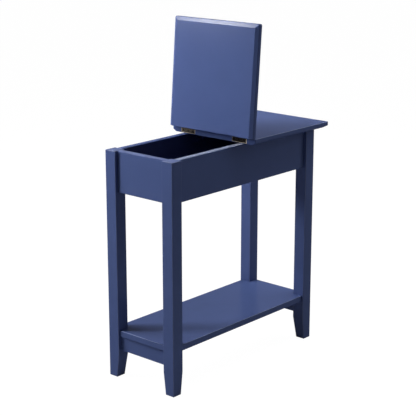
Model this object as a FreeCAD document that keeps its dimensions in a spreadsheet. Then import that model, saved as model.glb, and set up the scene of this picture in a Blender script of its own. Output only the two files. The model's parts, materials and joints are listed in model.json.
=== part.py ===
"""Narrow side table with a storage box under a split top, whose front half is a hinged lid.

Millimetres, Z up. X runs across the table and Y along it, with the lid's free end towards -Y.
The origin is on the floor, under the middle of the table as it stands with its lid open.
"""
import FreeCAD, Part
import os
import re
import Sketcher

SIZES = {
    # whole table
    "table_height": 610,
    "legs_width": 224,
    "legs_length": 557,
    # top, split across into the lid and a fixed half
    "top_width": 280,
    "top_thickness": 16,
    "lid_length": 284,
    "back_overhang": 25,
    "front_overhang": 9.5,
    "nose_height": 10,
    "bevel_inset": 10,
    "corner_radius": 4,
    "seam_gap": 1.2,
    "lid_rest_gap": 0.3,
    "lid_open_angle": 94.5,
    # legs, tapered on the two inner faces
    "leg_size": 34,
    "foot_size": 27,
    "taper_height": 60,
    # storage box
    "apron_height": 105.5,
    "apron_thickness": 18,
    "apron_setback": 8,
    "panel_thickness": 6,
    "panel_rise": 10,
    "groove_depth": 6,
    "groove_clearance": 0.2,
    "notch_clearance": 0.3,
    # shelf and the rails under its ends
    "shelf_height": 127,
    "shelf_thickness": 16,
    "shelf_setback": 5,
    "rail_height": 39,
    "rail_thickness": 15,
    "rail_setback": 10,
    # cleats that hold the fixed half of the top
    "cleat_size": 18,
    "cleat_seam_gap": 36,
    "cleat_leg_gap": 22,
    # rounding of wooden edges
    "edge_radius": 1,
    "top_edge_radius": 1.5,
    # butt hinges, measured from the pin
    "hinge_inset": 53.5,
    "hinge_length": 48,
    "leaf_height": 15,
    "leaf_thickness": 1.2,
    "mortise_clearance": 0.1,
    "knuckle_radius": 2.6,
    "knuckle_clearance": 0.4,
    "knuckle_gap": 0.3,
    "pin_radius": 1.25,
    "pin_clearance": 0.05,
    # screws: the hinge size and the frame size
    "hinge_screw_pitch": 16,
    "hinge_screw_drop": 8.4,
    "hinge_screw_radius": 1.3,
    "hinge_screw_length": 13,
    "hinge_head_radius": 2.5,
    "frame_screw_radius": 2,
    "frame_head_radius": 4,
    "frame_head_height": 2.4,
    "recess_width": 0.6,
    "recess_depth": 0.7,
    "screw_clearance": 0.05,
    "cleat_screw_length": 30,
    "cleat_screw_inset": 20,
    "top_screw_length": 28,
    "top_screw_inset": 45,
    "shelf_screw_length": 26,
    "shelf_screw_spread": 70,
    "shelf_screw_bite": 11,
    "counterbore_radius": 5,
    # dowels
    "dowel_radius": 4,
    "dowel_length": 30,
    "dowel_clearance": 0.05,
    "dowel_end_gap": 0.5,
    "apron_dowel_rise": 30,
    "apron_dowel_pitch": 48,
    "apron_dowel_stagger": 14,
    "rail_dowel_rise": 10,
    "rail_dowel_pitch": 18,
    # how far a cutting tool runs past the face it opens
    "overcut": 2,
}

KNUCKLES = 5
HINGE_SCREWS = (-1, 0, 1)
DOWEL_STEPS = (0, 1)
SIDES = {"left": -1, "right": 1}
ENDS = {"front": -1, "back": 1}

# Places, each built up from the sizes above.
LEG_HEIGHT = "(table_height - top_thickness)"
BACK_EDGE = "((legs_length + back_overhang) / 2)"
LEGS_MIDDLE = "(-back_overhang / 2)"
LEG_FACE = {"left": "(-legs_width / 2)", "right": "(legs_width / 2)"}
END_FACE = {end: f"({LEGS_MIDDLE} + {sign} * legs_length / 2)" for end, sign in ENDS.items()}
SEAM = f"({END_FACE['front']} - front_overhang + lid_length + seam_gap / 2)"
APRON_BOTTOM = f"({LEG_HEIGHT} - apron_height)"
APRON_SPAN = {"across": "(legs_width - 2 * leg_size)", "along": "(legs_length - 2 * leg_size)"}
BOX_WIDTH = "(legs_width - 2 * (apron_setback + apron_thickness))"
BOX_LENGTH = "(legs_length - 2 * (apron_setback + apron_thickness))"
PANEL_BOTTOM = f"({APRON_BOTTOM} + panel_rise)"
TONGUE = "(groove_depth - groove_clearance)"
SHELF_BOTTOM = "(shelf_height - shelf_thickness)"
RAIL_BOTTOM = f"({SHELF_BOTTOM} - rail_height)"
RAIL_MIDDLE = {end: f"({END_FACE[end]} - {sign} * (rail_setback + rail_thickness / 2))"
               for end, sign in ENDS.items()}
CLEAT_START = f"({SEAM} + cleat_seam_gap)"
CLEAT_END = f"({END_FACE['back']} - leg_size - cleat_leg_gap)"
CLEAT_BOTTOM = f"({LEG_HEIGHT} - cleat_size)"
KNUCKLE_ROOM = "(knuckle_radius + knuckle_clearance)"
KNUCKLE_LENGTH = f"(hinge_length / {KNUCKLES})"

doc = FreeCAD.newDocument("side_table")
sheet = doc.addObject("Spreadsheet::Sheet", "Sizes")
for row, (alias, size) in enumerate(SIZES.items(), start=1):
    sheet.set(f"A{row}", alias)
    sheet.set(f"B{row}", str(size))
    sheet.setAlias(f"B{row}", alias)
doc.recompute()

SIZE_NAME = r"\b(" + "|".join(SIZES) + r")\b"
sub_parts = []


# Helpers that bind objects to the sheet

def cells(formula):
    """Points each size named in a formula at its cell."""
    return re.sub(SIZE_NAME, r"Sizes.\g<0>", formula)


def bind(item, formulas):
    for path, formula in formulas.items():
        item.setExpression(path, cells(formula))
    return item


def put(item, place):
    return bind(item, {f"Placement.Base.{axis}": formula for axis, formula in zip("xyz", place)})


TURNS = {
    "+x": FreeCAD.Rotation(FreeCAD.Vector(0, 1, 0), 90),
    "+y": FreeCAD.Rotation(FreeCAD.Vector(1, 0, 0), -90),
    "-y": FreeCAD.Rotation(FreeCAD.Vector(1, 0, 0), 90),
    "-x": FreeCAD.Rotation(FreeCAD.Vector(0, 1, 0), -90),
    "+z": FreeCAD.Rotation(),
}


def box(name, size, place):
    item = doc.addObject("Part::Box", name)
    bind(item, dict(zip(("Length", "Width", "Height"), size)))
    return put(item, place)


def rod(name, radius, length, place, toward):
    item = doc.addObject("Part::Cylinder", name)
    item.Placement.Rotation = TURNS[toward]
    bind(item, {"Radius": radius, "Height": length})
    return put(item, place)


def cone(name, radius, tip_radius, length, place, toward):
    item = doc.addObject("Part::Cone", name)
    item.Placement.Rotation = TURNS[toward]
    bind(item, {"Radius1": radius, "Radius2": tip_radius, "Height": length})
    return put(item, place)


def group(name, items):
    item = doc.addObject("Part::Compound", name)
    item.Links = items
    return item


def fuse(name, items):
    item = doc.addObject("Part::MultiFuse", name)
    item.Shapes = items
    return item


def cut(name, base, tools):
    item = doc.addObject("Part::Cut", name)
    item.Base = base
    item.Tool = group(f"{name}_tools", tools)
    return item


def finish(item, label):
    item.Label = label
    sub_parts.append(item)
    return item


# Helpers for bodies

def new_body(name):
    return doc.addObject("PartDesign::Body", name)


def new_sketch(body, role, height="0"):
    sketch = body.newObject("Sketcher::SketchObject", f"{body.Name}_sketch")
    plane = next(item for item in body.Origin.OriginFeatures if item.Role == role)
    sketch.AttachmentSupport = [(plane, "")]
    sketch.MapMode = "FlatFace"
    bind(sketch, {"AttachmentOffset.Base.z": height})
    return sketch


def name_size(sketch, constraint, name, formula):
    index = sketch.addConstraint(constraint)
    sketch.renameConstraint(index, name)
    bind(sketch, {f"Constraints.{name}": formula})


def draw_loop(sketch, points):
    """Draws a closed outline of straight lines through points that are near their final places."""
    count = len(points)
    corners = [FreeCAD.Vector(x, y, 0) for x, y in points]
    for index in range(count):
        sketch.addGeometry(Part.LineSegment(corners[index], corners[(index + 1) % count]), False)
    for index in range(count):
        sketch.addConstraint(Sketcher.Constraint("Coincident", index, 2, (index + 1) % count, 1))


def draw_rectangle(sketch, width, depth):
    """A rectangle with one corner on the origin."""
    draw_loop(sketch, [(0, 0), (1, 0), (1, 1), (0, 1)])
    for line, kind in enumerate(("Horizontal", "Vertical", "Horizontal", "Vertical")):
        sketch.addConstraint(Sketcher.Constraint(kind, line))
    sketch.addConstraint(Sketcher.Constraint("Coincident", 0, 1, -1, 1))
    name_size(sketch, Sketcher.Constraint("DistanceX", 0, 1, 0, 2, 1), "width", width)
    name_size(sketch, Sketcher.Constraint("DistanceY", 1, 1, 1, 2, 1), "depth", depth)


def draw_taper(sketch):
    """The triangle between a straight post and its tapered foot."""
    draw_loop(sketch, [(2, 0), (3, 0), (3, 3)])
    sketch.addConstraint(Sketcher.Constraint("Horizontal", 0))
    sketch.addConstraint(Sketcher.Constraint("Vertical", 1))
    sketch.addConstraint(Sketcher.Constraint("PointOnObject", 0, 1, -1))
    name_size(sketch, Sketcher.Constraint("DistanceX", -1, 1, 0, 1, 2), "foot", "foot_size")
    name_size(sketch, Sketcher.Constraint("DistanceX", -1, 1, 0, 2, 3), "post", "leg_size")
    name_size(sketch, Sketcher.Constraint("DistanceY", 1, 1, 1, 2, 3), "rise", "taper_height")


def draw_top_half(sketch, toward, start, reach, width):
    """A plate from the seam towards +Y or -Y, with its two far corners rounded."""
    near = toward
    far = 9 * toward
    side = 5
    draw_loop(sketch, [(-side, near), (side, near), (side, far), (-side, far)])
    for line, kind in enumerate(("Vertical", "Horizontal", "Vertical"), start=1):
        sketch.addConstraint(Sketcher.Constraint(kind, line))
    sketch.addConstraint(Sketcher.Constraint("Symmetric", 0, 1, 0, 2, -2))
    name_size(sketch, Sketcher.Constraint("DistanceX", 0, 1, 0, 2, 2 * side), "width", width)
    spans = {"start": ((-1, 1), (0, 1), 1, start), "reach": ((0, 1), (2, 1), 8, reach)}
    for name, (first, second, guess, formula) in spans.items():
        ends = first + second if toward > 0 else second + first
        name_size(sketch, Sketcher.Constraint("DistanceY", *ends, guess), name, formula)


def add_pad(body, sketch, length):
    pad = body.newObject("PartDesign::Pad", f"{body.Name}_pad")
    pad.Profile = sketch
    bind(pad, {"Length": length})
    return pad


def add_through_pocket(body, sketch):
    pocket = body.newObject("PartDesign::Pocket", f"{body.Name}_pocket")
    pocket.Profile = sketch
    pocket.Type = "ThroughAll"
    pocket.SideType = "Symmetric"
    return pocket


def add_fillet(body, radius, chosen=lambda edge: True):
    """Rounds the body's edges for which chosen is true."""
    doc.recompute()
    base = body.Tip
    names = [f"Edge{index}" for index, edge in enumerate(base.Shape.Edges, start=1) if chosen(edge)]
    fillet = body.newObject("PartDesign::Fillet", f"{body.Name}_fillet")
    fillet.Base = (base, names)
    bind(fillet, {"Radius": radius})
    return fillet


def is_upright(edge):
    return abs(edge.BoundBox.ZLength - edge.Length) < Part.Precision.confusion()


def is_past_middle(edge, body):
    """True for an edge in the half of a body that is away from the seam."""
    return abs(edge.CenterOfMass.y) > abs(body.Shape.BoundBox.Center.y)


def is_level(edge, height):
    """True for an edge that lies at a height."""
    away = max(abs(edge.BoundBox.ZMin - height), abs(edge.BoundBox.ZMax - height))
    return away < Part.Precision.confusion()


def board(name, size, place):
    """A plain board with softened edges, its lowest corner at a place."""
    body = new_body(f"{name}_blank")
    sketch = new_sketch(body, "XY_Plane")
    draw_rectangle(sketch, size[0], size[1])
    add_pad(body, sketch, size[2])
    add_fillet(body, "edge_radius")
    return put(body, place)


# Dowels: each gives a solid and the hole that its two pieces share

def dowel(name, centre, along):
    """A dowel centred on a joint, along x or y, and its hole."""
    index = "xyz".index(along)
    made = []
    spares = (("pin", "0", "0"), ("hole", "dowel_clearance", "2 * dowel_end_gap"))
    for kind, spare_radius, spare_length in spares:
        length = f"(dowel_length + {spare_length})"
        place = list(centre)
        place[index] = f"{centre[index]} - {length} / 2"
        made.append(rod(f"{name}_{kind}", f"dowel_radius + {spare_radius}", length, place, f"+{along}"))
    return made


def joint_dowels(name, x, y, base, pitch, along):
    """The dowels of one joint, one above the other."""
    made = []
    for step in DOWEL_STEPS:
        made.append(dowel(f"{name}_{step}", (x, y, f"{base} + {step} * {pitch}"), along))
    return [pair[0] for pair in made], [pair[1] for pair in made]


leg_holes = {f"{end}_{side}": [] for end in ENDS for side in SIDES}
apron_holes = {name: [] for name in (*ENDS, *SIDES)}
rail_holes = {end: [] for end in ENDS}
apron_dowels = []
rail_dowels = []
APRON_MIDDLE = "(apron_setback + apron_thickness / 2)"
for end, end_sign in ENDS.items():
    for side, side_sign in SIDES.items():
        corner = f"{end}_{side}"
        joint_x = f"{side_sign} * (legs_width / 2 - leg_size)"
        joint_y = f"{LEGS_MIDDLE} + {end_sign} * (legs_length / 2 - leg_size)"
        low = f"{APRON_BOTTOM} + apron_dowel_rise"
        cross_y = f"{END_FACE[end]} - {end_sign} * {APRON_MIDDLE}"
        pins, holes = joint_dowels(f"cross_{corner}", joint_x, cross_y, low, "apron_dowel_pitch", "x")
        apron_dowels += pins
        apron_holes[end] += holes
        leg_holes[corner] += holes
        long_x = f"{LEG_FACE[side]} - {side_sign} * {APRON_MIDDLE}"
        high = f"{low} + apron_dowel_stagger"
        pins, holes = joint_dowels(f"long_{corner}", long_x, joint_y, high, "apron_dowel_pitch", "y")
        apron_dowels += pins
        apron_holes[side] += holes
        leg_holes[corner] += holes
        rail_low = f"{RAIL_BOTTOM} + rail_dowel_rise"
        pins, holes = joint_dowels(f"rail_{corner}", joint_x, RAIL_MIDDLE[end], rail_low, "rail_dowel_pitch", "x")
        rail_dowels += pins
        rail_holes[end] += holes
        leg_holes[corner] += holes
finish(group("apron_dowels", apron_dowels), "apron_dowels")
finish(group("rail_dowels", rail_dowels), "rail_dowels")


# Screws: each gives a solid, its hole and the seat of its countersunk head

def screw(name, place, toward, head_radius, head_height, radius, length):
    """A countersunk screw whose head is flush with a place and whose point lies towards a direction."""
    head = cone(f"{name}_head", head_radius, radius, head_height, place, toward)
    shank = rod(f"{name}_shank", radius, length, place, toward)
    whole = fuse(f"{name}_whole", [head, shank])
    slots = []
    spread = f"2 * {radius}"
    across = {"x": ("recess_depth", spread, "recess_width"), "y": (spread, "recess_depth", "recess_width"),
              "z": (spread, "recess_width", "recess_depth")}[toward[1]]
    axis = "xyz".index(toward[1])
    wide, narrow = [index for index in range(len(across)) if index != axis]
    for turned in (False, True):
        size = list(across)
        if turned:
            size[wide], size[narrow] = size[narrow], size[wide]
        corner = [f"{centre} - {extent} / 2" for centre, extent in zip(place, size)]
        corner[axis] = place[axis] if toward[0] == "+" else f"{place[axis]} - recess_depth"
        slots.append(box(f"{name}_slot", size, corner))
    solid = cut(f"{name}_solid", whole, slots)
    hole = rod(f"{name}_hole", f"{radius} + screw_clearance", f"{length} + screw_clearance", place, toward)
    seat = cone(f"{name}_seat", f"{head_radius} + screw_clearance", f"{radius} + screw_clearance",
                head_height, place, toward)
    return solid, hole, seat


def frame_screw(name, place, toward, length):
    return screw(name, place, toward, "frame_head_radius", "frame_head_height", "frame_screw_radius", length)


# Legs

for end in ENDS:
    for side in SIDES:
        turn = {"front_left": 0, "front_right": 90, "back_right": 180, "back_left": 270}[f"{end}_{side}"]
        leg = new_body(f"leg_{end}_{side}_blank")
        outline = new_sketch(leg, "XY_Plane")
        draw_rectangle(outline, "leg_size", "leg_size")
        add_pad(leg, outline, LEG_HEIGHT)
        add_fillet(leg, "edge_radius")
        for role in ("XZ_Plane", "YZ_Plane"):
            taper = new_sketch(leg, role)
            draw_taper(taper)
            add_through_pocket(leg, taper)
        leg.Placement.Rotation = FreeCAD.Rotation(FreeCAD.Vector(0, 0, 1), turn)
        put(leg, (LEG_FACE[side], END_FACE[end], "0"))
        drilled = cut(f"leg_{end}_{side}_drilled", leg, leg_holes[f"{end}_{side}"])
        finish(drilled, f"leg_{end}_{side}")


# Cleats under the fixed half of the top, with their screws

cleat_holes = {side: [] for side in SIDES}
cleat_screws = []
top_screws = []
top_holes = []
for side, sign in SIDES.items():
    inner = f"({sign} * ({BOX_WIDTH} / 2 - cleat_size))"
    middle = f"({sign} * ({BOX_WIDTH} / 2 - cleat_size / 2))"
    for end in ENDS:
        near = {"front": CLEAT_START, "back": CLEAT_END}[end]
        place = (inner, f"{near} - {ENDS[end]} * cleat_screw_inset", f"{CLEAT_BOTTOM} + cleat_size / 2")
        toward = {"left": "-x", "right": "+x"}[side]
        solid, hole, seat = frame_screw(f"cleat_screw_{side}_{end}", place, toward, "cleat_screw_length")
        cleat_screws.append(solid)
        cleat_holes[side] += [hole, seat]
        apron_holes[side].append(hole)
        place = (middle, f"{near} - {ENDS[end]} * top_screw_inset", CLEAT_BOTTOM)
        solid, hole, seat = frame_screw(f"top_screw_{side}_{end}", place, "+z", "top_screw_length")
        top_screws.append(solid)
        cleat_holes[side] += [hole, seat]
        top_holes.append(hole)
    corner = {"left": f"-{BOX_WIDTH} / 2", "right": f"{BOX_WIDTH} / 2 - cleat_size"}[side]
    size = ("cleat_size", f"{CLEAT_END} - {CLEAT_START}", "cleat_size")
    blank = board(f"cleat_{side}", size, (corner, CLEAT_START, CLEAT_BOTTOM))
    finish(cut(f"cleat_{side}_drilled", blank, cleat_holes[side]), f"top_cleat_{side}")
finish(group("cleat_screws", cleat_screws), "cleat_screws")
finish(group("top_screws", top_screws), "top_screws")


# Aprons, grooved inside for the bottom panel

GROOVE_HEIGHT = "(panel_thickness + 2 * groove_clearance)"
GROOVE_BOTTOM = f"({PANEL_BOTTOM} - groove_clearance)"
groove = box(
    "groove",
    (f"{BOX_WIDTH} + 2 * groove_depth", f"{BOX_LENGTH} + 2 * groove_depth", GROOVE_HEIGHT),
    (f"-{BOX_WIDTH} / 2 - groove_depth", f"{LEGS_MIDDLE} - {BOX_LENGTH} / 2 - groove_depth", GROOVE_BOTTOM),
)
for end in ENDS:
    outer = {"front": "apron_setback", "back": "(-apron_setback - apron_thickness)"}[end]
    blank = board(
        f"apron_{end}",
        (APRON_SPAN["across"], "apron_thickness", "apron_height"),
        (f"-{APRON_SPAN['across']} / 2", f"{END_FACE[end]} + {outer}", APRON_BOTTOM),
    )
    finish(cut(f"apron_{end}_cut", blank, [groove, *apron_holes[end]]), f"apron_{end}")
for side in SIDES:
    outer = {"left": "apron_setback", "right": "(-apron_setback - apron_thickness)"}[side]
    blank = board(
        f"apron_{side}",
        ("apron_thickness", APRON_SPAN["along"], "apron_height"),
        (f"{LEG_FACE[side]} + {outer}", f"{LEGS_MIDDLE} - {APRON_SPAN['along']} / 2", APRON_BOTTOM),
    )
    finish(cut(f"apron_{side}_cut", blank, [groove, *apron_holes[side]]), f"apron_{side}")


# Panels notched round the legs

def leg_notches(name, bottom, height):
    """Boxes round the four legs, a clearance larger than the legs."""
    made = []
    size = "(leg_size + 2 * notch_clearance)"
    for end, end_sign in ENDS.items():
        for side, side_sign in SIDES.items():
            middle_x = f"{LEG_FACE[side]} - {side_sign} * leg_size / 2"
            middle_y = f"{END_FACE[end]} - {end_sign} * leg_size / 2"
            place = (f"{middle_x} - {size} / 2", f"{middle_y} - {size} / 2", f"{bottom} - overcut")
            made.append(box(f"{name}_notch", (size, size, f"{height} + 2 * overcut"), place))
    return made


panel = box(
    "panel",
    (f"{BOX_WIDTH} + 2 * {TONGUE}", f"{BOX_LENGTH} + 2 * {TONGUE}", "panel_thickness"),
    (f"-{BOX_WIDTH} / 2 - {TONGUE}", f"{LEGS_MIDDLE} - {BOX_LENGTH} / 2 - {TONGUE}", PANEL_BOTTOM),
)
finish(cut("panel_notched", panel, leg_notches("panel", PANEL_BOTTOM, "panel_thickness")), "box_bottom")


# Shelf, its rails and the screws up through the rails

shelf_screws = []
shelf_holes = []
for end in ENDS:
    head_height = f"({SHELF_BOTTOM} + shelf_screw_bite - shelf_screw_length)"
    for side, side_sign in SIDES.items():
        place = (f"{side_sign} * shelf_screw_spread / 2", RAIL_MIDDLE[end], head_height)
        solid, hole, seat = frame_screw(f"shelf_screw_{end}_{side}", place, "+z", "shelf_screw_length")
        bore = rod(
            f"shelf_screw_{end}_{side}_bore",
            "counterbore_radius",
            f"{head_height} - {RAIL_BOTTOM} + overcut",
            (place[0], place[1], f"{RAIL_BOTTOM} - overcut"),
            "+z",
        )
        shelf_screws.append(solid)
        shelf_holes.append(hole)
        rail_holes[end] += [hole, seat, bore]
    blank = board(
        f"rail_{end}",
        (APRON_SPAN["across"], "rail_thickness", "rail_height"),
        (f"-{APRON_SPAN['across']} / 2", f"{RAIL_MIDDLE[end]} - rail_thickness / 2", RAIL_BOTTOM),
    )
    finish(cut(f"rail_{end}_cut", blank, rail_holes[end]), f"shelf_rail_{end}")
finish(group("shelf_screws", shelf_screws), "shelf_screws")
SHELF_SIZE = ("(legs_width - 2 * shelf_setback)", "(legs_length - 2 * shelf_setback)", "shelf_thickness")
blank = board(
    "shelf",
    SHELF_SIZE,
    (f"-{SHELF_SIZE[0]} / 2", f"{LEGS_MIDDLE} - {SHELF_SIZE[1]} / 2", SHELF_BOTTOM),
)
notches = leg_notches("shelf", SHELF_BOTTOM, "shelf_thickness")
finish(cut("shelf_cut", blank, notches + shelf_holes), "shelf")


# Top halves and hinges, drawn about the pin with the lid shut, then moved into place

def hang(item, is_lid):
    """Moves an item from the pin at the origin to its place, and swings the lid's pieces open."""
    if is_lid:
        item.Placement.Rotation = FreeCAD.Rotation(FreeCAD.Vector(-1, 0, 0), SIZES["lid_open_angle"])
        bind(item, {"Placement.Rotation.Angle": "lid_open_angle * 1 deg"})
    return put(item, ("0", SEAM, "table_height"))


def span(toward, start, length):
    """The low end of a stretch that starts at a distance from the seam."""
    return start if toward > 0 else f"-({start}) - ({length})"


def leaf(name, middle, toward, owned):
    """A hinge leaf on one side of the seam with the knuckles it owns, its screws and its cuts in the wood."""
    low = "(-leaf_height)"
    depth = span(toward, "seam_gap / 2", "leaf_thickness")
    start = f"{middle} - hinge_length / 2"
    plate_height = f"(leaf_height - {KNUCKLE_ROOM})"
    plate = box(f"{name}_plate", ("hinge_length", "leaf_thickness", plate_height), (start, depth, low))
    pieces = [plate]
    for knuckle in owned:
        knuckle_start = f"{start} + {knuckle} * {KNUCKLE_LENGTH} + knuckle_gap / 2"
        length = f"{KNUCKLE_LENGTH} - knuckle_gap"
        ring_middle = "((knuckle_radius + pin_radius) / 2)"
        tab_size = (length, "leaf_thickness", f"leaf_height - {ring_middle}")
        tab = box(f"{name}_tab", tab_size, (knuckle_start, depth, low))
        barrel = rod(f"{name}_barrel", "knuckle_radius", length, (knuckle_start, "0", "0"), "+x")
        pieces += [tab, barrel]
    bore_place = (f"{start} - overcut", "0", "0")
    bore_length = "hinge_length + 2 * overcut"
    bore = rod(f"{name}_bore", "pin_radius + pin_clearance", bore_length, bore_place, "+x")
    screws = []
    holes = []
    seats = []
    for step in HINGE_SCREWS:
        face = {1: "seam_gap / 2", -1: "-seam_gap / 2"}[toward]
        place = (f"{middle} + {step} * hinge_screw_pitch", face, "-hinge_screw_drop")
        solid, hole, seat = screw(
            f"{name}_screw_{step + 1}", place, {1: "+y", -1: "-y"}[toward],
            "hinge_head_radius", "leaf_thickness", "hinge_screw_radius", "hinge_screw_length",
        )
        screws.append(solid)
        holes.append(hole)
        seats.append(seat)
    made = cut(f"{name}_cut", fuse(f"{name}_whole", pieces), [bore, *holes, *seats])
    recess = "(seam_gap / 2 + leaf_thickness)"
    wide = "(hinge_length + 2 * mortise_clearance)"
    wide_start = f"{start} - mortise_clearance"
    mortise = box(
        f"{name}_mortise",
        (wide, recess, "leaf_height + mortise_clearance + overcut"),
        (wide_start, span(toward, "0", recess), "-leaf_height - mortise_clearance"),
    )
    relief = box(
        f"{name}_relief",
        (wide, KNUCKLE_ROOM, f"{KNUCKLE_ROOM} + overcut"),
        (wide_start, span(toward, "0", KNUCKLE_ROOM), f"-{KNUCKLE_ROOM}"),
    )
    return made, screws, [mortise, relief, *holes]


def top_half(name, toward, start, reach, thickness):
    """Half of the top: a plate with a square nose and a reverse bevel, cut square at the seam."""
    body = new_body(f"{name}_blank")
    low = f"-{thickness}"
    bevel = f"({thickness} - nose_height)"
    under = new_sketch(body, "XY_Plane", low)
    draw_top_half(under, toward, start, f"{reach} - bevel_inset", "top_width - 2 * bevel_inset")
    outline = new_sketch(body, "XY_Plane", f"{low} + {bevel}")
    draw_top_half(outline, toward, start, reach, "top_width")
    loft = body.newObject("PartDesign::AdditiveLoft", f"{name}_bevel")
    loft.Profile = under
    loft.Sections = [outline]
    loft.Ruled = True
    add_pad(body, outline, "nose_height")
    add_fillet(body, "corner_radius", lambda edge: is_upright(edge) and is_past_middle(edge, body))
    add_fillet(body, "top_edge_radius", lambda edge: is_level(edge, 0))
    return body


hinge_cuts = {1: [], -1: []}
hinge_screws = {1: [], -1: []}
for side, sign in SIDES.items():
    middle = f"{sign} * (top_width / 2 - hinge_inset)"
    for toward, half in ((1, "fixed"), (-1, "lid")):
        owned = range(0, KNUCKLES, 2) if toward > 0 else range(1, KNUCKLES, 2)
        name = f"hinge_leaf_{half}_{side}"
        made, screws, cuts = leaf(name, middle, toward, owned)
        hinge_cuts[toward] += cuts
        hinge_screws[toward] += screws
        finish(hang(made, toward < 0), name)
    pin = rod(f"pin_{side}", "pin_radius", "hinge_length", (f"{middle} - hinge_length / 2", "0", "0"), "+x")
    finish(hang(group(f"pin_{side}_placed", [pin]), False), f"hinge_pin_{side}")
for toward, half in ((1, "fixed"), (-1, "lid")):
    screws = group(f"hinge_screws_{half}_group", hinge_screws[toward])
    finish(hang(screws, toward < 0), f"hinge_screws_{half}")

FIXED_LENGTH = f"({BACK_EDGE} - {SEAM} - seam_gap / 2)"
fixed_blank = top_half("fixed_top", 1, "seam_gap / 2", FIXED_LENGTH, "top_thickness")
fixed_cut = hang(cut("fixed_top_cut", fixed_blank, hinge_cuts[1]), False)
finish(cut("fixed_top_drilled", fixed_cut, top_holes), "fixed_top")
lid_blank = top_half("lid", -1, "seam_gap / 2", "lid_length", "(top_thickness - lid_rest_gap)")
finish(hang(cut("lid_cut", lid_blank, hinge_cuts[-1]), True), "lid")


# Checks and export

doc.recompute()
for item in doc.Objects:
    if "Invalid" in item.State or "Error" in item.State:
        raise RuntimeError(f"{item.Label} did not build: {item.State}")
os.makedirs("parts", exist_ok=True)
for item in sub_parts:
    if item.Shape.isNull() or not item.Shape.isValid() or not item.Shape.Solids:
        raise RuntimeError(f"{item.Label} has no valid solid")
    item.Shape.exportStep(f"parts/{item.Label}.step")
    print(item.Label, len(item.Shape.Solids), round(item.Shape.Volume))
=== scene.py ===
"""Looks for a narrow side table with a lift top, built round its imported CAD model.

Run as a script: it registers its operators, dresses every piece and sets up a studio with a camera.
"""

import json
import math
from typing import NamedTuple

import bmesh
import bpy
from bpy.props import FloatProperty, FloatVectorProperty, PointerProperty
from mathutils import Matrix, Vector


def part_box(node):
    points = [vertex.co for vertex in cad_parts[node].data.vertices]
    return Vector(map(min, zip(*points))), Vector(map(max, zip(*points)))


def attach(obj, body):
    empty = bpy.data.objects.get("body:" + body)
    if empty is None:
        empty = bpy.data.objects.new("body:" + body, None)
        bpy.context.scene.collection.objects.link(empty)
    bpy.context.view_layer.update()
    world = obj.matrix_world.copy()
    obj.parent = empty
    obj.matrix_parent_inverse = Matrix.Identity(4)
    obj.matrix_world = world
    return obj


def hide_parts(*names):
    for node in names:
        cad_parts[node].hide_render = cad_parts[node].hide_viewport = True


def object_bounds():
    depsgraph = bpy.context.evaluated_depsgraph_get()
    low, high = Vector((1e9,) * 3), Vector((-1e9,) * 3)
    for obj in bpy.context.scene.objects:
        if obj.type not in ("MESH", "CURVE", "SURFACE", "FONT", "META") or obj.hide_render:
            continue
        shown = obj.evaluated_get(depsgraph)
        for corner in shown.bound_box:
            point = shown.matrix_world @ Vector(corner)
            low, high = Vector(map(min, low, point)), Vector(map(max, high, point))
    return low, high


bl_info = {
    "name": "Lift top side table",
    "version": (1, 0, 0),
    "blender": (4, 5, 0),
    "location": "3D View > Sidebar > Side Table",
    "description": "Dresses the CAD model of a side table with softened, painted boards and brass hinges",
    "category": "Object",
}

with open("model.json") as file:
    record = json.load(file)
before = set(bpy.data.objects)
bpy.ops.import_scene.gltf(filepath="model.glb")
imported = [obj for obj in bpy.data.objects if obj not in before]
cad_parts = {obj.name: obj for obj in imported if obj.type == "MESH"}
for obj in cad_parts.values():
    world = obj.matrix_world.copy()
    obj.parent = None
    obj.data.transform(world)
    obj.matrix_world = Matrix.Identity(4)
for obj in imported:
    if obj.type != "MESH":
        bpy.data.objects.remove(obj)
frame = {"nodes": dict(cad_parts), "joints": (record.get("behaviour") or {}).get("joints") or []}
CAD_BOX = [list(corner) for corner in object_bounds()]
HINGE = frame["joints"][0]
PIN = Vector(HINGE["pos_m"])
OPEN_TURN = Matrix.Rotation(-math.radians(HINGE["range_deg"][0]), 4, Vector(HINGE["axis"]))


class Half(NamedTuple):
    """A half of the top: the way that it lies from the pin along Y, the body that it rides on, its first knuckle."""
    way: int
    body: str
    first_knuckle: int


MM = 0.001
ACROSS = Vector((1, 0, 0))
ALONG = Vector((0, 1, 0))
UPRIGHT = Vector((0, 0, 1))
SIDES = ("left", "right")
ENDS = ("front", "back")
LEGS = [f"leg_{end}_{side}" for end in ENDS for side in SIDES]
HALVES = {"fixed": Half(1, "table", 0), "lid": Half(-1, "lid", 1)}

# Sizes of the CAD model that its boxes don't give
TAPER_HEIGHT = 60 * MM
TAPER_INSET = 7 * MM
NOSE_HEIGHT = 10 * MM
UNDER_BEVEL = 10 * MM
SEAM_HALF_GAP = 0.6 * MM
LID_LENGTH = 284 * MM
LID_THICKNESS = 15.7 * MM
LEAF_THICKNESS = 1.2 * MM
LEAF_HEIGHT = 15 * MM
KNUCKLE_ROOM = 3 * MM
KNUCKLE_RADIUS = 2.6 * MM
KNUCKLE_GAP = 0.3 * MM
KNUCKLES = 5
SCREW_PITCH = 16 * MM
SCREW_DROP = 8.4 * MM
SINK_RADIUS = 2.6 * MM
SINK_TIP_RADIUS = 1.3 * MM
MORTISE_GAP = 0.1 * MM
GROOVE_GAP = 0.2 * MM
NOTCH_GAP = 0.3 * MM

# How far cutters run past a face, and how far a knuckle's tab reaches into its leaf
CUT_PAST = 2 * MM
SINK_PAST = 0.1 * MM
TAB_OVERLAP = 0.5 * MM

# Softening: the hinge leaves' filed edges, and how many times wider the aprons' edges are than the other boards'
FILED_WIDTH = 1.15 * MM
APRON_ARRIS = 1.6
EDGE_SEGMENTS = 3
CORNER_SEGMENTS = 5
CIRCLE_SEGMENTS = 32

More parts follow.
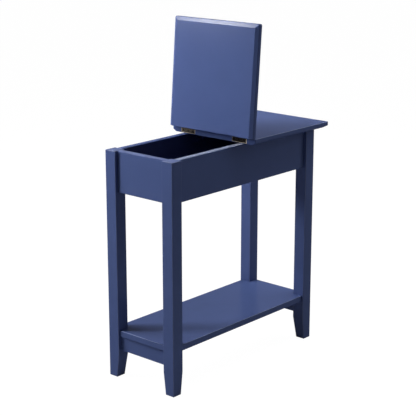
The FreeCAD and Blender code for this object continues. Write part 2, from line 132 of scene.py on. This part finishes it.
# Tests of a shape: points that count as one, edges that count as sharp, and faces that look along or up
NEAR = 0.01 * MM
MERGE_WITHIN = 0.001 * MM
SHARP_ANGLE = math.radians(40)
LOOKS_ALONG = 0.9
LOOKS_UP = 0.3

# Steps in metres that start the boards' grain at different places
GRAIN_STEPS = (0.37, 0.53, 0.71)

# Material slots of a painted board, three of them painted highlights and one painted shade, and the slot of a hinge
# leaf's filed edges
PAINT, EDGE_HIGHLIGHT, INSIDE_SHADE, RIM_HIGHLIGHT, SOFT_HIGHLIGHT = range(5)
FILED = 1

# Colour sockets of a Mix node, which share their names with its other sockets
MIX_FIRST, MIX_SECOND, MIX_RESULT = 6, 7, 2

# The camera: its place and farthest sight in metres, its sensor in millimetres, looking about 15 degrees down
CAMERA_PLACE = (2.05329, -2.36778, 1.26050)
CAMERA_TURNS = (math.radians(90 - 15.262), 0, math.radians(41.363))
SENSOR_WIDTH = 36
FARTHEST_SEEN = 100

# The floor: half its width in metres, its grey under the lamps, and the glow that makes it white where it is seen
FLOOR_REACH = 30
WHITE = "#FFFFFF"
FLOOR_GREY = "#C4C4C4"
FLOOR_GLOW = 1.1
FLOOR_GLOW_SHARE = 0.9


def linear(code):
    """An sRGB hex colour as linear red, green and blue."""
    parts = [int(code[at:at + 2], 16) / 255 for at in (1, 3, 5)]
    return tuple(part / 12.92 if part <= 0.04045 else ((part + 0.055) / 1.055) ** 2.4 for part in parts)


class SideTableLook(bpy.types.PropertyGroup):
    """Sizes and colours of the table that a user may change before building."""

    arris_width: FloatProperty(
        name="Arris width", description="Width of the softened edges of the boards",
        default=1.3 * MM, min=0.2 * MM, max=4 * MM, unit="LENGTH")
    corner_radius: FloatProperty(
        name="Corner radius", description="Rounding of the top's outer corners, seen from above",
        default=4 * MM, min=1 * MM, max=8 * MM, unit="LENGTH")
    paint: FloatVectorProperty(
        name="Paint", description="Colour of the satin lacquer", subtype="COLOR", default=linear("#4A5988"))
    # paler blue painted on the edges that look up: a painted highlight where the light catches them
    edge_highlight_paint: FloatVectorProperty(
        name="Rubbed paint", description="Colour of the lacquer where sanding thins it on the edges",
        subtype="COLOR", default=linear("#8592BA"))
    # a darker blue painted inside the storage box, on its bottom and on its cleats: painted shade
    inside_shade_paint: FloatVectorProperty(
        name="Inside paint", description="Colour of the thin dark coat inside the storage box",
        subtype="COLOR", default=linear("#3A4266"))
    # a pale blue painted on the right apron's rim: a painted highlight where the light glances off it
    rim_highlight_paint: FloatVectorProperty(
        name="Worn paint", description="Colour of the lacquer on the rim that the lid rubs most",
        subtype="COLOR", default=linear("#8A93AD"))
    # a lighter blue painted on the front rim, the leg tops and the legs' other edges: a softer painted highlight
    soft_highlight_paint: FloatVectorProperty(
        name="Dulled paint", description="Colour of the lacquer on the front rim, leg tops and leg edges, rubbed less",
        subtype="COLOR", default=linear("#5E6A92"))
    brass: FloatVectorProperty(
        name="Hinge brass", description="Colour of the hinges", subtype="COLOR", default=linear("#403B36"))
    filed_brass: FloatVectorProperty(
        name="Filed brass", description="Colour of the hinges' filed edges",
        subtype="COLOR", default=linear("#E2D6BE"))
    camera_lens: FloatProperty(
        name="Lens", description="Focal length of the camera", default=107.8, min=20, max=300, unit="CAMERA")
    key_power: FloatProperty(
        name="Key light", description="Power of the small light at the front left that casts the legs' shadows",
        default=12.3, min=0, max=2000, unit="POWER")
    fill_light: FloatProperty(
        name="Fill", description="Strength of the even light from all round", default=0.07, min=0, max=2)


# Materials

def add_node(tree, kind, inputs=None, links=None, **settings):
    """Adds a node with its settings, its input values, and links into its inputs from other nodes' outputs."""
    node = tree.nodes.new(kind)
    for name, value in settings.items():
        setattr(node, name, value)
    for name, value in (inputs or {}).items():
        node.inputs[name].default_value = value
    for name, (source, output) in (links or {}).items():
        tree.links.new(source.outputs[output], node.inputs[name])
    return node


def new_material(name):
    """A material and its empty node tree, or None for the tree where the material is there already."""
    found = bpy.data.materials.get(name)
    if found:
        return found, None
    material = bpy.data.materials.new(name)
    material.use_nodes = True
    material.node_tree.nodes.clear()
    return material, material.node_tree


def coloured(colour, factor=1.0):
    """A linear colour, lighter or darker by a factor, as a shader socket takes it."""
    return (*(min(1.0, part * factor) for part in colour), 1.0)


def sprayed_lacquer(name, colour, roughness, grain_depth, coat=0.1):
    """Satin lacquer sprayed on sanded boards: an even colour with soft clouds, a faint orange peel from the spray gun,
    and the wood's long pores just telling through."""
    material, tree = new_material(name)
    if tree is None:
        return material
    board = add_node(tree, "ShaderNodeAttribute", attribute_name="board")
    # clouds about 70 mm across, from uneven coats
    clouds = add_node(tree, "ShaderNodeTexNoise", {"Scale": 1 / (70 * MM), "Detail": 2.0},
                      {"Vector": (board, "Vector")})
    # pores 1.6 mm wide and 25 times as long; real ones are finer, and these are as coarse as the picture needs
    along = add_node(tree, "ShaderNodeMapping", {"Scale": (0.04, 1.0, 1.0)}, {"Vector": (board, "Vector")})
    pores = add_node(tree, "ShaderNodeTexNoise", {"Scale": 1 / (1.6 * MM), "Detail": 3.0},
                     {"Vector": (along, "Vector")})
    # orange peel of the spray, about 2 mm from bump to bump
    peel = add_node(tree, "ShaderNodeTexNoise", {"Scale": 1 / (2 * MM), "Detail": 1.0},
                    {"Vector": (board, "Vector")})
    # the clouds are 6 percent darker and lighter, and a little duller or glossier
    tone = add_node(tree, "ShaderNodeMix", {MIX_FIRST: coloured(colour, 0.94), MIX_SECOND: coloured(colour, 1.06)},
                    {"Factor": (clouds, "Fac")}, data_type="RGBA")
    dull = add_node(tree, "ShaderNodeMapRange", {"To Min": roughness - 0.05, "To Max": roughness + 0.07},
                    {"Value": (clouds, "Fac")})
    grain = add_node(tree, "ShaderNodeBump", {"Strength": grain_depth, "Distance": 0.12 * MM},
                     {"Height": (pores, "Fac")})
    skin = add_node(tree, "ShaderNodeBump", {"Strength": 0.06, "Distance": 0.1 * MM},
                    {"Height": (peel, "Fac"), "Normal": (grain, "Normal")})
    # the gloss is all in the clear coat, so that it shows most where the light glances off
    shader = add_node(tree, "ShaderNodeBsdfPrincipled",
                      {"IOR": 1.5, "Specular IOR Level": 0.0, "Coat Weight": coat, "Coat IOR": 1.5,
                       "Coat Roughness": 0.18},
                      {"Base Color": (tone, MIX_RESULT), "Roughness": (dull, "Result"), "Normal": (skin, "Normal"),
                       "Coat Normal": (skin, "Normal")})
    add_node(tree, "ShaderNodeOutputMaterial", links={"Surface": (shader, "BSDF")})
    return material


def satin_metal(name, colour, roughness, streak):
    """Metal finished by tumbling or brushing: fine streaks along X, as wide as given, that widen the highlight."""
    material, tree = new_material(name)
    if tree is None:
        return material
    place = add_node(tree, "ShaderNodeTexCoord")
    # streaks ten times as long as they are wide
    along = add_node(tree, "ShaderNodeMapping", {"Scale": (0.1, 1.0, 1.0)}, {"Vector": (place, "Object")})
    streaks = add_node(tree, "ShaderNodeTexNoise", {"Scale": 1 / streak, "Detail": 2.0},
                       {"Vector": (along, "Vector")})
    dull = add_node(tree, "ShaderNodeMapRange", {"To Min": roughness - 0.06, "To Max": roughness + 0.08},
                    {"Value": (streaks, "Fac")})
    rub = add_node(tree, "ShaderNodeBump", {"Strength": 0.1, "Distance": 0.05 * MM}, {"Height": (streaks, "Fac")})
    shader = add_node(tree, "ShaderNodeBsdfPrincipled", {"Base Color": coloured(colour), "Metallic": 1.0},
                      {"Roughness": (dull, "Result"), "Normal": (rub, "Normal")})
    add_node(tree, "ShaderNodeOutputMaterial", links={"Surface": (shader, "BSDF")})
    return material


def raw_beech():
    """Planed beech without a finish: warm, pale, with short darker flecks along the grain."""
    material, tree = new_material("raw_beech")
    if tree is None:
        return material
    place = add_node(tree, "ShaderNodeTexCoord")
    # flecks 1.5 mm wide and about 12 times as long
    along = add_node(tree, "ShaderNodeMapping", {"Scale": (1.0, 0.08, 1.0)}, {"Vector": (place, "Object")})
    flecks = add_node(tree, "ShaderNodeTexNoise", {"Scale": 1 / (1.5 * MM), "Detail": 3.0},
                      {"Vector": (along, "Vector")})
    ramp = add_node(tree, "ShaderNodeValToRGB", None, {"Fac": (flecks, "Fac")})
    for stop, colour in zip(ramp.color_ramp.elements, ("#9C7B55", "#CDAE84")):
        stop.color = coloured(linear(colour))
    relief = add_node(tree, "ShaderNodeBump", {"Strength": 0.2, "Distance": 0.1 * MM}, {"Height": (flecks, "Fac")})
    shader = add_node(tree, "ShaderNodeBsdfPrincipled", {"Roughness": 0.62, "IOR": 1.45},
                      {"Base Color": (ramp, "Color"), "Normal": (relief, "Normal")})
    add_node(tree, "ShaderNodeOutputMaterial", links={"Surface": (shader, "BSDF")})
    return material


def board_finishes(look):
    """The finishes of a painted board, in the order of its slots."""
    return [
        # two full coats: a soft sheen without clear reflections
        sprayed_lacquer("satin_blue_lacquer", look.paint, roughness=0.42, grain_depth=0.1),
        # lacquer painted paler on the edges that look up: a painted highlight along the boards' edges
        sprayed_lacquer("rubbed_blue_lacquer", look.edge_highlight_paint, roughness=0.36, grain_depth=0.05),
        # painted shade inside the box: a darker, dull coat with the pores standing out
        sprayed_lacquer("thin_dark_coat", look.inside_shade_paint, roughness=0.6, grain_depth=0.3),
        # the right rim painted pale: a painted highlight where the light glances off it, under a glossier coat
        sprayed_lacquer("worn_blue_lacquer", look.rim_highlight_paint, roughness=0.36, grain_depth=0.05, coat=0.4),
        # a lighter blue between the satin and the pale edges: a softer painted highlight
        sprayed_lacquer("dulled_blue_lacquer", look.soft_highlight_paint, roughness=0.36, grain_depth=0.05),
    ]


# Shaping

def block(low, high):
    """A box between two corners."""
    bm = bmesh.new()
    size = high - low
    bmesh.ops.create_cube(bm, size=1.0, matrix=Matrix.Translation((low + high) / 2) @ Matrix.Diagonal((*size, 1.0)))
    return bm


def cone(place, turn, radius, tip_radius, depth):
    """A closed cone or cylinder about a place, turned from its axis along Z."""
    bm = bmesh.new()
    bmesh.ops.create_cone(bm, cap_ends=True, segments=CIRCLE_SEGMENTS, radius1=radius, radius2=tip_radius, depth=depth,
                          matrix=Matrix.Translation(place) @ turn)
    return bm


def split(bm, height):
    """Cuts a board's faces along a level line."""
    geometry = bm.verts[:] + bm.edges[:] + bm.faces[:]
    bmesh.ops.bisect_plane(bm, geom=geometry, plane_co=(0, 0, height), plane_no=UPRIGHT)


def round_over(bm, edges, width, segments=EDGE_SEGMENTS):
    """Rounds edges over, and returns the new faces."""
    made = bmesh.ops.bevel(bm, geom=edges, offset=width, segments=segments, profile=0.5, affect="EDGES", material=-1)
    return made["faces"]


def ease(bm, width, strips=EDGE_HIGHLIGHT, sides=PAINT):
    """Softens every sharp edge, and gives the strips that look up one finish and the others another; by default the
    strips that look up get the pale painted highlight.
    """
    sharp = [edge for edge in bm.edges if edge.calc_face_angle() > SHARP_ANGLE]
    for face in round_over(bm, sharp, width):
        face.normal_update()
        # strips that look up get the first finish, by default the painted highlight, as the light falls on them from
        # above
        face.material_index = strips if face.normal.z > LOOKS_UP else sides
        face.smooth = True


def finish_facing(bm, way, finish):
    """Gives the faces that look along a direction their finish."""
    for face in bm.faces:
        if face.normal.dot(way) > LOOKS_ALONG:
            face.material_index = finish


def is_near(first, second):
    """Whether two coordinates count as one."""
    return abs(first - second) < NEAR


def combine(bm, others, operation="DIFFERENCE"):
    """Cuts shapes out of a shape, or joins them to it, and returns it."""
    objects = []
    for shape in [bm, *others]:
        mesh = bpy.data.meshes.new("carving")
        shape.to_mesh(mesh)
        shape.free()
        objects.append(bpy.data.objects.new("carving", mesh))
        bpy.context.scene.collection.objects.link(objects[-1])
    target = objects[0]
    for other in objects[1:]:
        cut = target.modifiers.new("cut", "BOOLEAN")
        cut.object = other
        cut.operation = operation
        cut.solver = "EXACT"
    combined = bmesh.new()
    combined.from_object(target, bpy.context.evaluated_depsgraph_get())
    bmesh.ops.remove_doubles(combined, verts=combined.verts[:], dist=MERGE_WITHIN)
    for item in objects:
        mesh = item.data
        bpy.data.objects.remove(item)
        bpy.data.meshes.remove(mesh)
    return combined


def resting_turn(body):
    """How a body's shapes are turned about the pin at rest: the lid's stand open."""
    return OPEN_TURN if body == "lid" else Matrix.Identity(4)


def hang(bm, body):
    """Moves a shape from the pin at the origin to its place on a body."""
    bmesh.ops.transform(bm, matrix=Matrix.Translation(PIN) @ resting_turn(body), verts=bm.verts[:])


# Pieces

def make_piece(bm, node, finishes, body="table"):
    """Turns a shape into the piece that stands for a CAD node."""
    bmesh.ops.recalc_face_normals(bm, faces=bm.faces[:])
    mesh = bpy.data.meshes.new(f"{node}_shaped")
    bm.to_mesh(mesh)
    bm.free()
    piece = bpy.data.objects.new(f"{node}_shaped", mesh)
    bpy.context.scene.collection.objects.link(piece)
    for finish in finishes:
        mesh.materials.append(finish)
    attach(piece, body)
    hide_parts(node)
    return piece


def lay_grain(piece, grain):
    """Stores each point's place along and across the board's own grain, for the lacquer to read."""
    turn = grain.rotation_difference(ACROSS).to_matrix()
    counts = (len(piece.name), piece.name.count("l"), piece.name.count("r"))
    shift = Vector([count * step for count, step in zip(counts, GRAIN_STEPS)])
    places = piece.data.attributes.new("board", "FLOAT_VECTOR", "POINT")
    for point, vert in zip(places.data, piece.data.vertices):
        point.vector = turn @ vert.co + shift


def make_board(bm, node, grain, look, body="table"):
    """Turns a shape into a painted board with its grain along a direction."""
    lay_grain(make_piece(bm, node, board_finishes(look), body), grain)


def dress(node, material):
    """Gives a CAD node that keeps its own mesh a material."""
    mesh = frame["nodes"][node].data
    mesh.materials.clear()
    mesh.materials.append(material)


def shape_leg(node, look):
    """A square leg whose two inner faces taper towards the floor."""
    low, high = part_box(node)
    bm = block(low, high)
    split(bm, low.z + TAPER_HEIGHT)
    middle = (Vector(CAD_BOX[0]) + Vector(CAD_BOX[1])) / 2
    for vert in bm.verts:
        if not is_near(vert.co.z, low.z):
            continue
        for axis in (0, 1):
            outward = math.copysign(1, low[axis] + high[axis] - 2 * middle[axis])
            inner = low[axis] if outward > 0 else high[axis]
            if is_near(vert.co[axis], inner):
                vert.co[axis] += outward * TAPER_INSET
    # the legs' upward edges get the pale painted highlight, and their other edges and their tops the softer one
    ease(bm, look.arris_width, sides=SOFT_HIGHLIGHT)
    finish_facing(bm, UPRIGHT, SOFT_HIGHLIGHT)
    make_board(bm, node, UPRIGHT, look)


def shape_apron(node, inward, grain, rim, look):
    """A wall of the storage box: blue outside, painted darker inside for shade, with its rim's finish, grooved for the
    bottom panel.
    """
    low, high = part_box(node)
    bm = block(low, high)
    finish_facing(bm, inward, INSIDE_SHADE)
    ease(bm, APRON_ARRIS * look.arris_width, strips=PAINT)
    finish_facing(bm, UPRIGHT, rim)
    panel_low, panel_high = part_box("box_bottom")
    play = Vector((GROOVE_GAP, GROOVE_GAP, GROOVE_GAP))
    groove = block(panel_low - play, panel_high + play)
    for face in groove.faces:
        face.material_index = INSIDE_SHADE
    make_board(combine(bm, [groove]), node, grain, look)


def shape_shelf(look):
    """The shelf board, notched round the four legs."""
    low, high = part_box("shelf")
    bm = block(low, high)
    ease(bm, look.arris_width)
    play = Vector((NOTCH_GAP, NOTCH_GAP, 0))
    notches = []
    for leg in LEGS:
        leg_low, leg_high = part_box(leg)
        notch_low = leg_low - play
        notch_high = leg_high + play
        notch_low.z = low.z - CUT_PAST
        notch_high.z = high.z + CUT_PAST
        notches.append(block(notch_low, notch_high))
    make_board(combine(bm, notches), "shelf", ALONG, look)


def shape_rail(node, look):
    """A plain rail under an end of the shelf."""
    bm = block(*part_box(node))
    ease(bm, look.arris_width)
    make_board(bm, node, ACROSS, look)


def hinge_pockets(way):
    """Boxes that seat the leaves and clear the knuckles, in the seam edge of one half of the top, about the pin."""
    leaf_room = (SEAM_HALF_GAP + LEAF_THICKNESS, LEAF_HEIGHT + MORTISE_GAP)
    boxes = []
    for side in SIDES:
        low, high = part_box(f"hinge_leaf_fixed_{side}")
        for depth, drop in (leaf_room, (KNUCKLE_ROOM, KNUCKLE_ROOM)):
            ends = sorted((-way * CUT_PAST, way * depth))
            boxes.append(block(Vector((low.x - MORTISE_GAP, ends[0], -drop)),
                               Vector((high.x + MORTISE_GAP, ends[1], CUT_PAST))))
    return boxes


def shape_top_half(node, half, length, thickness, look):
    """Half of the top about the pin, with a square nose over a reverse bevel, cut square at the seam."""
    half_width = (CAD_BOX[1][0] - CAD_BOX[0][0]) / 2
    far = half.way * (SEAM_HALF_GAP + length)
    ends = sorted((half.way * SEAM_HALF_GAP, far))
    bm = block(Vector((-half_width, ends[0], -thickness)), Vector((half_width, ends[1], 0)))
    split(bm, -NOSE_HEIGHT)
    for vert in bm.verts:
        if is_near(vert.co.z, -thickness):
            vert.co.x -= math.copysign(UNDER_BEVEL, vert.co.x)
            if is_near(vert.co.y, far):
                vert.co.y -= half.way * UNDER_BEVEL
    corners = [edge for edge in bm.edges
               if all(is_near(vert.co.y, far) for vert in edge.verts)
               and is_near(edge.verts[0].co.x, edge.verts[1].co.x)]
    round_over(bm, corners, look.corner_radius, CORNER_SEGMENTS)
    ease(bm, look.arris_width)
    bm = combine(bm, hinge_pockets(half.way))
    hang(bm, half.body)
    make_board(bm, node, resting_turn(half.body).to_3x3() @ ALONG, look, half.body)


def shape_leaf(name, side, finishes):
    """A hinge leaf about the pin: a plate with filed edges and countersunk holes, and its knuckles round the pin."""
    half = HALVES[name]
    low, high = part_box(f"hinge_leaf_fixed_{side}")
    face = half.way * SEAM_HALF_GAP
    depths = sorted((face, face + half.way * LEAF_THICKNESS))
    bm = block(Vector((low.x, depths[0], -LEAF_HEIGHT)), Vector((high.x, depths[1], -KNUCKLE_ROOM)))
    rim = [edge for edge in bm.edges if all(is_near(vert.co.y, face) for vert in edge.verts)
           and any(is_near(vert.co.z, -LEAF_HEIGHT) for vert in edge.verts)]
    for filed in round_over(bm, rim, FILED_WIDTH):
        filed.material_index = FILED
        filed.smooth = True
    bm = combine(bm, leaf_sinks((low.x + high.x) / 2, face, half.way))
    bm = combine(bm, leaf_knuckles(low.x, high.x, depths, half.first_knuckle), "UNION")
    hang(bm, half.body)
    make_piece(bm, f"hinge_leaf_{name}_{side}", finishes, half.body)


def leaf_sinks(middle, face, way):
    """Countersinks of a leaf's three screws, run a little past both its faces."""
    flare = SINK_PAST * (SINK_RADIUS - SINK_TIP_RADIUS) / LEAF_THICKNESS
    turn = Matrix.Rotation(math.radians(-90 * way), 4, "X")
    return [cone(Vector((middle + step * SCREW_PITCH, face + way * LEAF_THICKNESS / 2, -SCREW_DROP)), turn,
                 SINK_RADIUS + flare, SINK_TIP_RADIUS - flare, LEAF_THICKNESS + 2 * SINK_PAST)
            for step in (-1, 0, 1)]


def leaf_knuckles(low_x, high_x, depths, first):
    """Every second knuckle of a hinge, each with the tab that joins it to its leaf."""
    pitch = (high_x - low_x) / KNUCKLES
    length = pitch - KNUCKLE_GAP
    turn = Matrix.Rotation(math.radians(90), 4, "Y")
    parts = []
    for knuckle in range(first, KNUCKLES, 2):
        start = low_x + knuckle * pitch + KNUCKLE_GAP / 2
        parts.append(block(Vector((start, depths[0], -KNUCKLE_ROOM - TAB_OVERLAP)),
                           Vector((start + length, depths[1], -KNUCKLE_RADIUS / 2))))
        parts.append(cone((start + length / 2, 0, 0), turn, KNUCKLE_RADIUS, KNUCKLE_RADIUS, length))
    return parts


# Stage

def seen_directly(tree):
    """An output that is 1 for what the camera sees, straight, in a reflection or through glass."""
    path = add_node(tree, "ShaderNodeLightPath")
    seen = (path, "Is Camera Ray")
    for ray in ("Is Glossy Ray", "Is Transmission Ray"):
        either = add_node(tree, "ShaderNodeMath", None, {0: seen, 1: (path, ray)}, operation="MAXIMUM")
        seen = (either, 0)
    return seen


def make_floor():
    """A wide white floor that keeps the table's soft shadow."""
    bm = bmesh.new()
    bmesh.ops.create_grid(bm, x_segments=1, y_segments=1, size=FLOOR_REACH)
    mesh = bpy.data.meshes.new("floor")
    bm.to_mesh(mesh)
    bm.free()
    floor = bpy.data.objects.new("floor", mesh)
    bpy.context.scene.collection.objects.link(floor)
    # matt paper under the lamps, and mostly a plain white glow where it is seen
    material, tree = new_material("white_paper_floor")
    paper = add_node(tree, "ShaderNodeBsdfDiffuse", {"Color": coloured(linear(FLOOR_GREY))})
    glow = add_node(tree, "ShaderNodeEmission", {"Color": coloured(linear(WHITE)), "Strength": FLOOR_GLOW})
    share = add_node(tree, "ShaderNodeMath", {1: FLOOR_GLOW_SHARE}, {0: seen_directly(tree)}, operation="MULTIPLY")
    mixed = add_node(tree, "ShaderNodeMixShader", None, {0: (share, 0), 1: (paper, 0), 2: (glow, 0)})
    add_node(tree, "ShaderNodeOutputMaterial", links={"Surface": (mixed, 0)})
    mesh.materials.append(material)


def make_world(fill):
    """White where it is seen, and a dimmer even light on the table."""
    world = bpy.data.worlds.new("studio")
    bpy.context.scene.world = world
    world.use_nodes = True
    tree = world.node_tree
    tree.nodes.clear()
    even = add_node(tree, "ShaderNodeBackground", {"Color": coloured(linear(WHITE)), "Strength": fill})
    white = add_node(tree, "ShaderNodeBackground", {"Color": coloured(linear(WHITE)), "Strength": 1.0})
    mixed = add_node(tree, "ShaderNodeMixShader", None, {0: seen_directly(tree), 1: (even, 0), 2: (white, 0)})
    add_node(tree, "ShaderNodeOutputWorld", links={"Surface": (mixed, 0)})


class Lamp(NamedTuple):
    """A square studio lamp: place, aim and width in metres, power in watts, and the spread of its beam in degrees."""
    name: str
    place: tuple
    aim: tuple
    width: float
    power: float
    spread: float = 180
    lights_matt: bool = True
    mirrored: bool = True


def studio_lamps(key_power):
    """The lamps: a small and a large one at the left, a narrow one and a glint on the rims, and two from behind."""
    return (
        Lamp("window_light", (-1.15, -1.19, 1.08), (0, -0.1, 0.45), 0.42, key_power),
        Lamp("room_light", (-1.5, -0.9, 1.8), (0, -0.1, 0.5), 1.2, 31.5),
        Lamp("high_light", (-0.98, -1.04, 2.06), (0, -0.03, 0.72), 0.4, 0.78, spread=34),
        Lamp("glint_light", (-1.18, -0.727, 2.06), (0, 0, 0.7), 0.25, 24.6, lights_matt=False),
        Lamp("top_light", (0.3, 0.7, 2.1), (0, 0.15, 0.6), 1.0, 11.2),
        Lamp("back_light", (1.0, 2.0, 1.5), (0, 0, 0.5), 1.2, 11, mirrored=False),
    )


def add_lamp(lamp):
    """Adds an area light that the camera doesn't see."""
    light = bpy.data.lights.new(lamp.name, "AREA")
    light.shape = "RECTANGLE"
    light.size = lamp.width
    light.size_y = lamp.width
    light.energy = lamp.power
    light.spread = math.radians(lamp.spread)
    item = bpy.data.objects.new(lamp.name, light)
    item.location = lamp.place
    item.rotation_euler = (Vector(lamp.aim) - Vector(lamp.place)).to_track_quat("-Z", "Y").to_euler()
    item.visible_camera = False
    item.visible_diffuse = lamp.lights_matt
    item.visible_glossy = lamp.mirrored
    bpy.context.scene.collection.objects.link(item)


def make_camera(focal_length):
    """The camera, looking down from the front right."""
    lens = bpy.data.cameras.new("camera")
    lens.lens = focal_length
    lens.sensor_width = SENSOR_WIDTH
    lens.clip_end = FARTHEST_SEEN
    camera = bpy.data.objects.new("camera", lens)
    camera.location = CAMERA_PLACE
    camera.rotation_euler = CAMERA_TURNS
    bpy.context.scene.collection.objects.link(camera)
    bpy.context.scene.camera = camera


# Operators

class SIDETABLE_OT_legs(bpy.types.Operator):
    """Shape the four tapered legs"""
    bl_idname = "sidetable.legs"
    bl_label = "Legs"

    def execute(self, context):
        for leg in LEGS:
            shape_leg(leg, context.scene.side_table)
        return {"FINISHED"}


class SIDETABLE_OT_box(bpy.types.Operator):
    """Shape the walls of the storage box and dress its bottom, cleats and dowels"""
    bl_idname = "sidetable.box"
    bl_label = "Storage box"

    def execute(self, context):
        look = context.scene.side_table
        # rims painted by how the light falls on them: a pale painted highlight on the right, a softer one on the
        # front, plain blue at the back and left
        shape_apron("apron_front", ALONG, ACROSS, SOFT_HIGHLIGHT, look)
        shape_apron("apron_back", -ALONG, ACROSS, PAINT, look)
        shape_apron("apron_left", ACROSS, ALONG, PAINT, look)
        shape_apron("apron_right", -ACROSS, ALONG, RIM_HIGHLIGHT, look)
        # the box's bottom and its cleats take the same painted shade as the inside of the box
        for node in ("box_bottom", "top_cleat_left", "top_cleat_right"):
            dress(node, board_finishes(look)[INSIDE_SHADE])
        dress("apron_dowels", raw_beech())
        return {"FINISHED"}


class SIDETABLE_OT_shelf(bpy.types.Operator):
    """Shape the shelf and the rails under its ends, and dress the rails' dowels"""
    bl_idname = "sidetable.shelf"
    bl_label = "Shelf"

    def execute(self, context):
        look = context.scene.side_table
        shape_shelf(look)
        for end in ENDS:
            shape_rail(f"shelf_rail_{end}", look)
        dress("rail_dowels", raw_beech())
        return {"FINISHED"}


class SIDETABLE_OT_top(bpy.types.Operator):
    """Shape the lid and the fixed half of the top"""
    bl_idname = "sidetable.top"
    bl_label = "Top"

    def execute(self, context):
        look = context.scene.side_table
        low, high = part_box("fixed_top")
        shape_top_half("fixed_top", HALVES["fixed"], high.y - low.y, high.z - low.z, look)
        shape_top_half("lid", HALVES["lid"], LID_LENGTH, LID_THICKNESS, look)
        return {"FINISHED"}


class SIDETABLE_OT_metal(bpy.types.Operator):
    """Shape the hinges' leaves and dress their pins and all the screws"""
    bl_idname = "sidetable.metal"
    bl_label = "Hinges and screws"

    def execute(self, context):
        look = context.scene.side_table
        # brass darkened with age: a broad, warm highlight
        brass = satin_metal("tumbled_brass", look.brass, roughness=0.27, streak=0.4 * MM)
        # fresh file marks: pale and dull
        filed = satin_metal("filed_brass", look.filed_brass, roughness=0.6, streak=0.4 * MM)
        # a baked bronze finish: nearly black
        bronze = satin_metal("bronzed_screw_steel", linear("#141211"), roughness=0.42, streak=0.5 * MM)
        # a thin bright plate: pale grey
        zinc = satin_metal("zinc_plated_steel", linear("#BDBEC0"), roughness=0.3, streak=0.5 * MM)
        for side in SIDES:
            dress(f"hinge_pin_{side}", brass)
            for name in HALVES:
                shape_leaf(name, side, [brass, filed])
        for node in ("hinge_screws_fixed", "hinge_screws_lid"):
            dress(node, bronze)
        for node in ("cleat_screws", "top_screws", "shelf_screws"):
            dress(node, zinc)
        return {"FINISHED"}


class SIDETABLE_OT_stage(bpy.types.Operator):
    """Set up the white floor, the soft lights and the camera"""
    bl_idname = "sidetable.stage"
    bl_label = "Stage"

    def execute(self, context):
        look = context.scene.side_table
        context.scene.view_settings.view_transform = "Standard"
        make_floor()
        make_world(look.fill_light)
        for lamp in studio_lamps(look.key_power):
            add_lamp(lamp)
        make_camera(look.camera_lens)
        return {"FINISHED"}


OPERATORS = (SIDETABLE_OT_legs, SIDETABLE_OT_box, SIDETABLE_OT_shelf, SIDETABLE_OT_top, SIDETABLE_OT_metal,
             SIDETABLE_OT_stage)


class SIDETABLE_PT_panel(bpy.types.Panel):
    """Lists the table's settings and its build steps"""
    bl_idname = "SIDETABLE_PT_panel"
    bl_label = "Side Table"
    bl_space_type = "VIEW_3D"
    bl_region_type = "UI"
    bl_category = "Side Table"

    def draw(self, context):
        look = context.scene.side_table
        for name in SideTableLook.__annotations__:
            self.layout.prop(look, name)
        for operator in OPERATORS:
            self.layout.operator(operator.bl_idname)


CLASSES = (SideTableLook, *OPERATORS, SIDETABLE_PT_panel)


def register():
    for item in CLASSES:
        bpy.utils.register_class(item)
    bpy.types.Scene.side_table = PointerProperty(type=SideTableLook)


def unregister():
    del bpy.types.Scene.side_table
    for item in reversed(CLASSES):
        bpy.utils.unregister_class(item)


def main():
    register()
    bpy.ops.sidetable.legs()
    bpy.ops.sidetable.box()
    bpy.ops.sidetable.shelf()
    bpy.ops.sidetable.top()
    bpy.ops.sidetable.metal()
    bpy.ops.sidetable.stage()


if __name__ == "__main__":
    main()
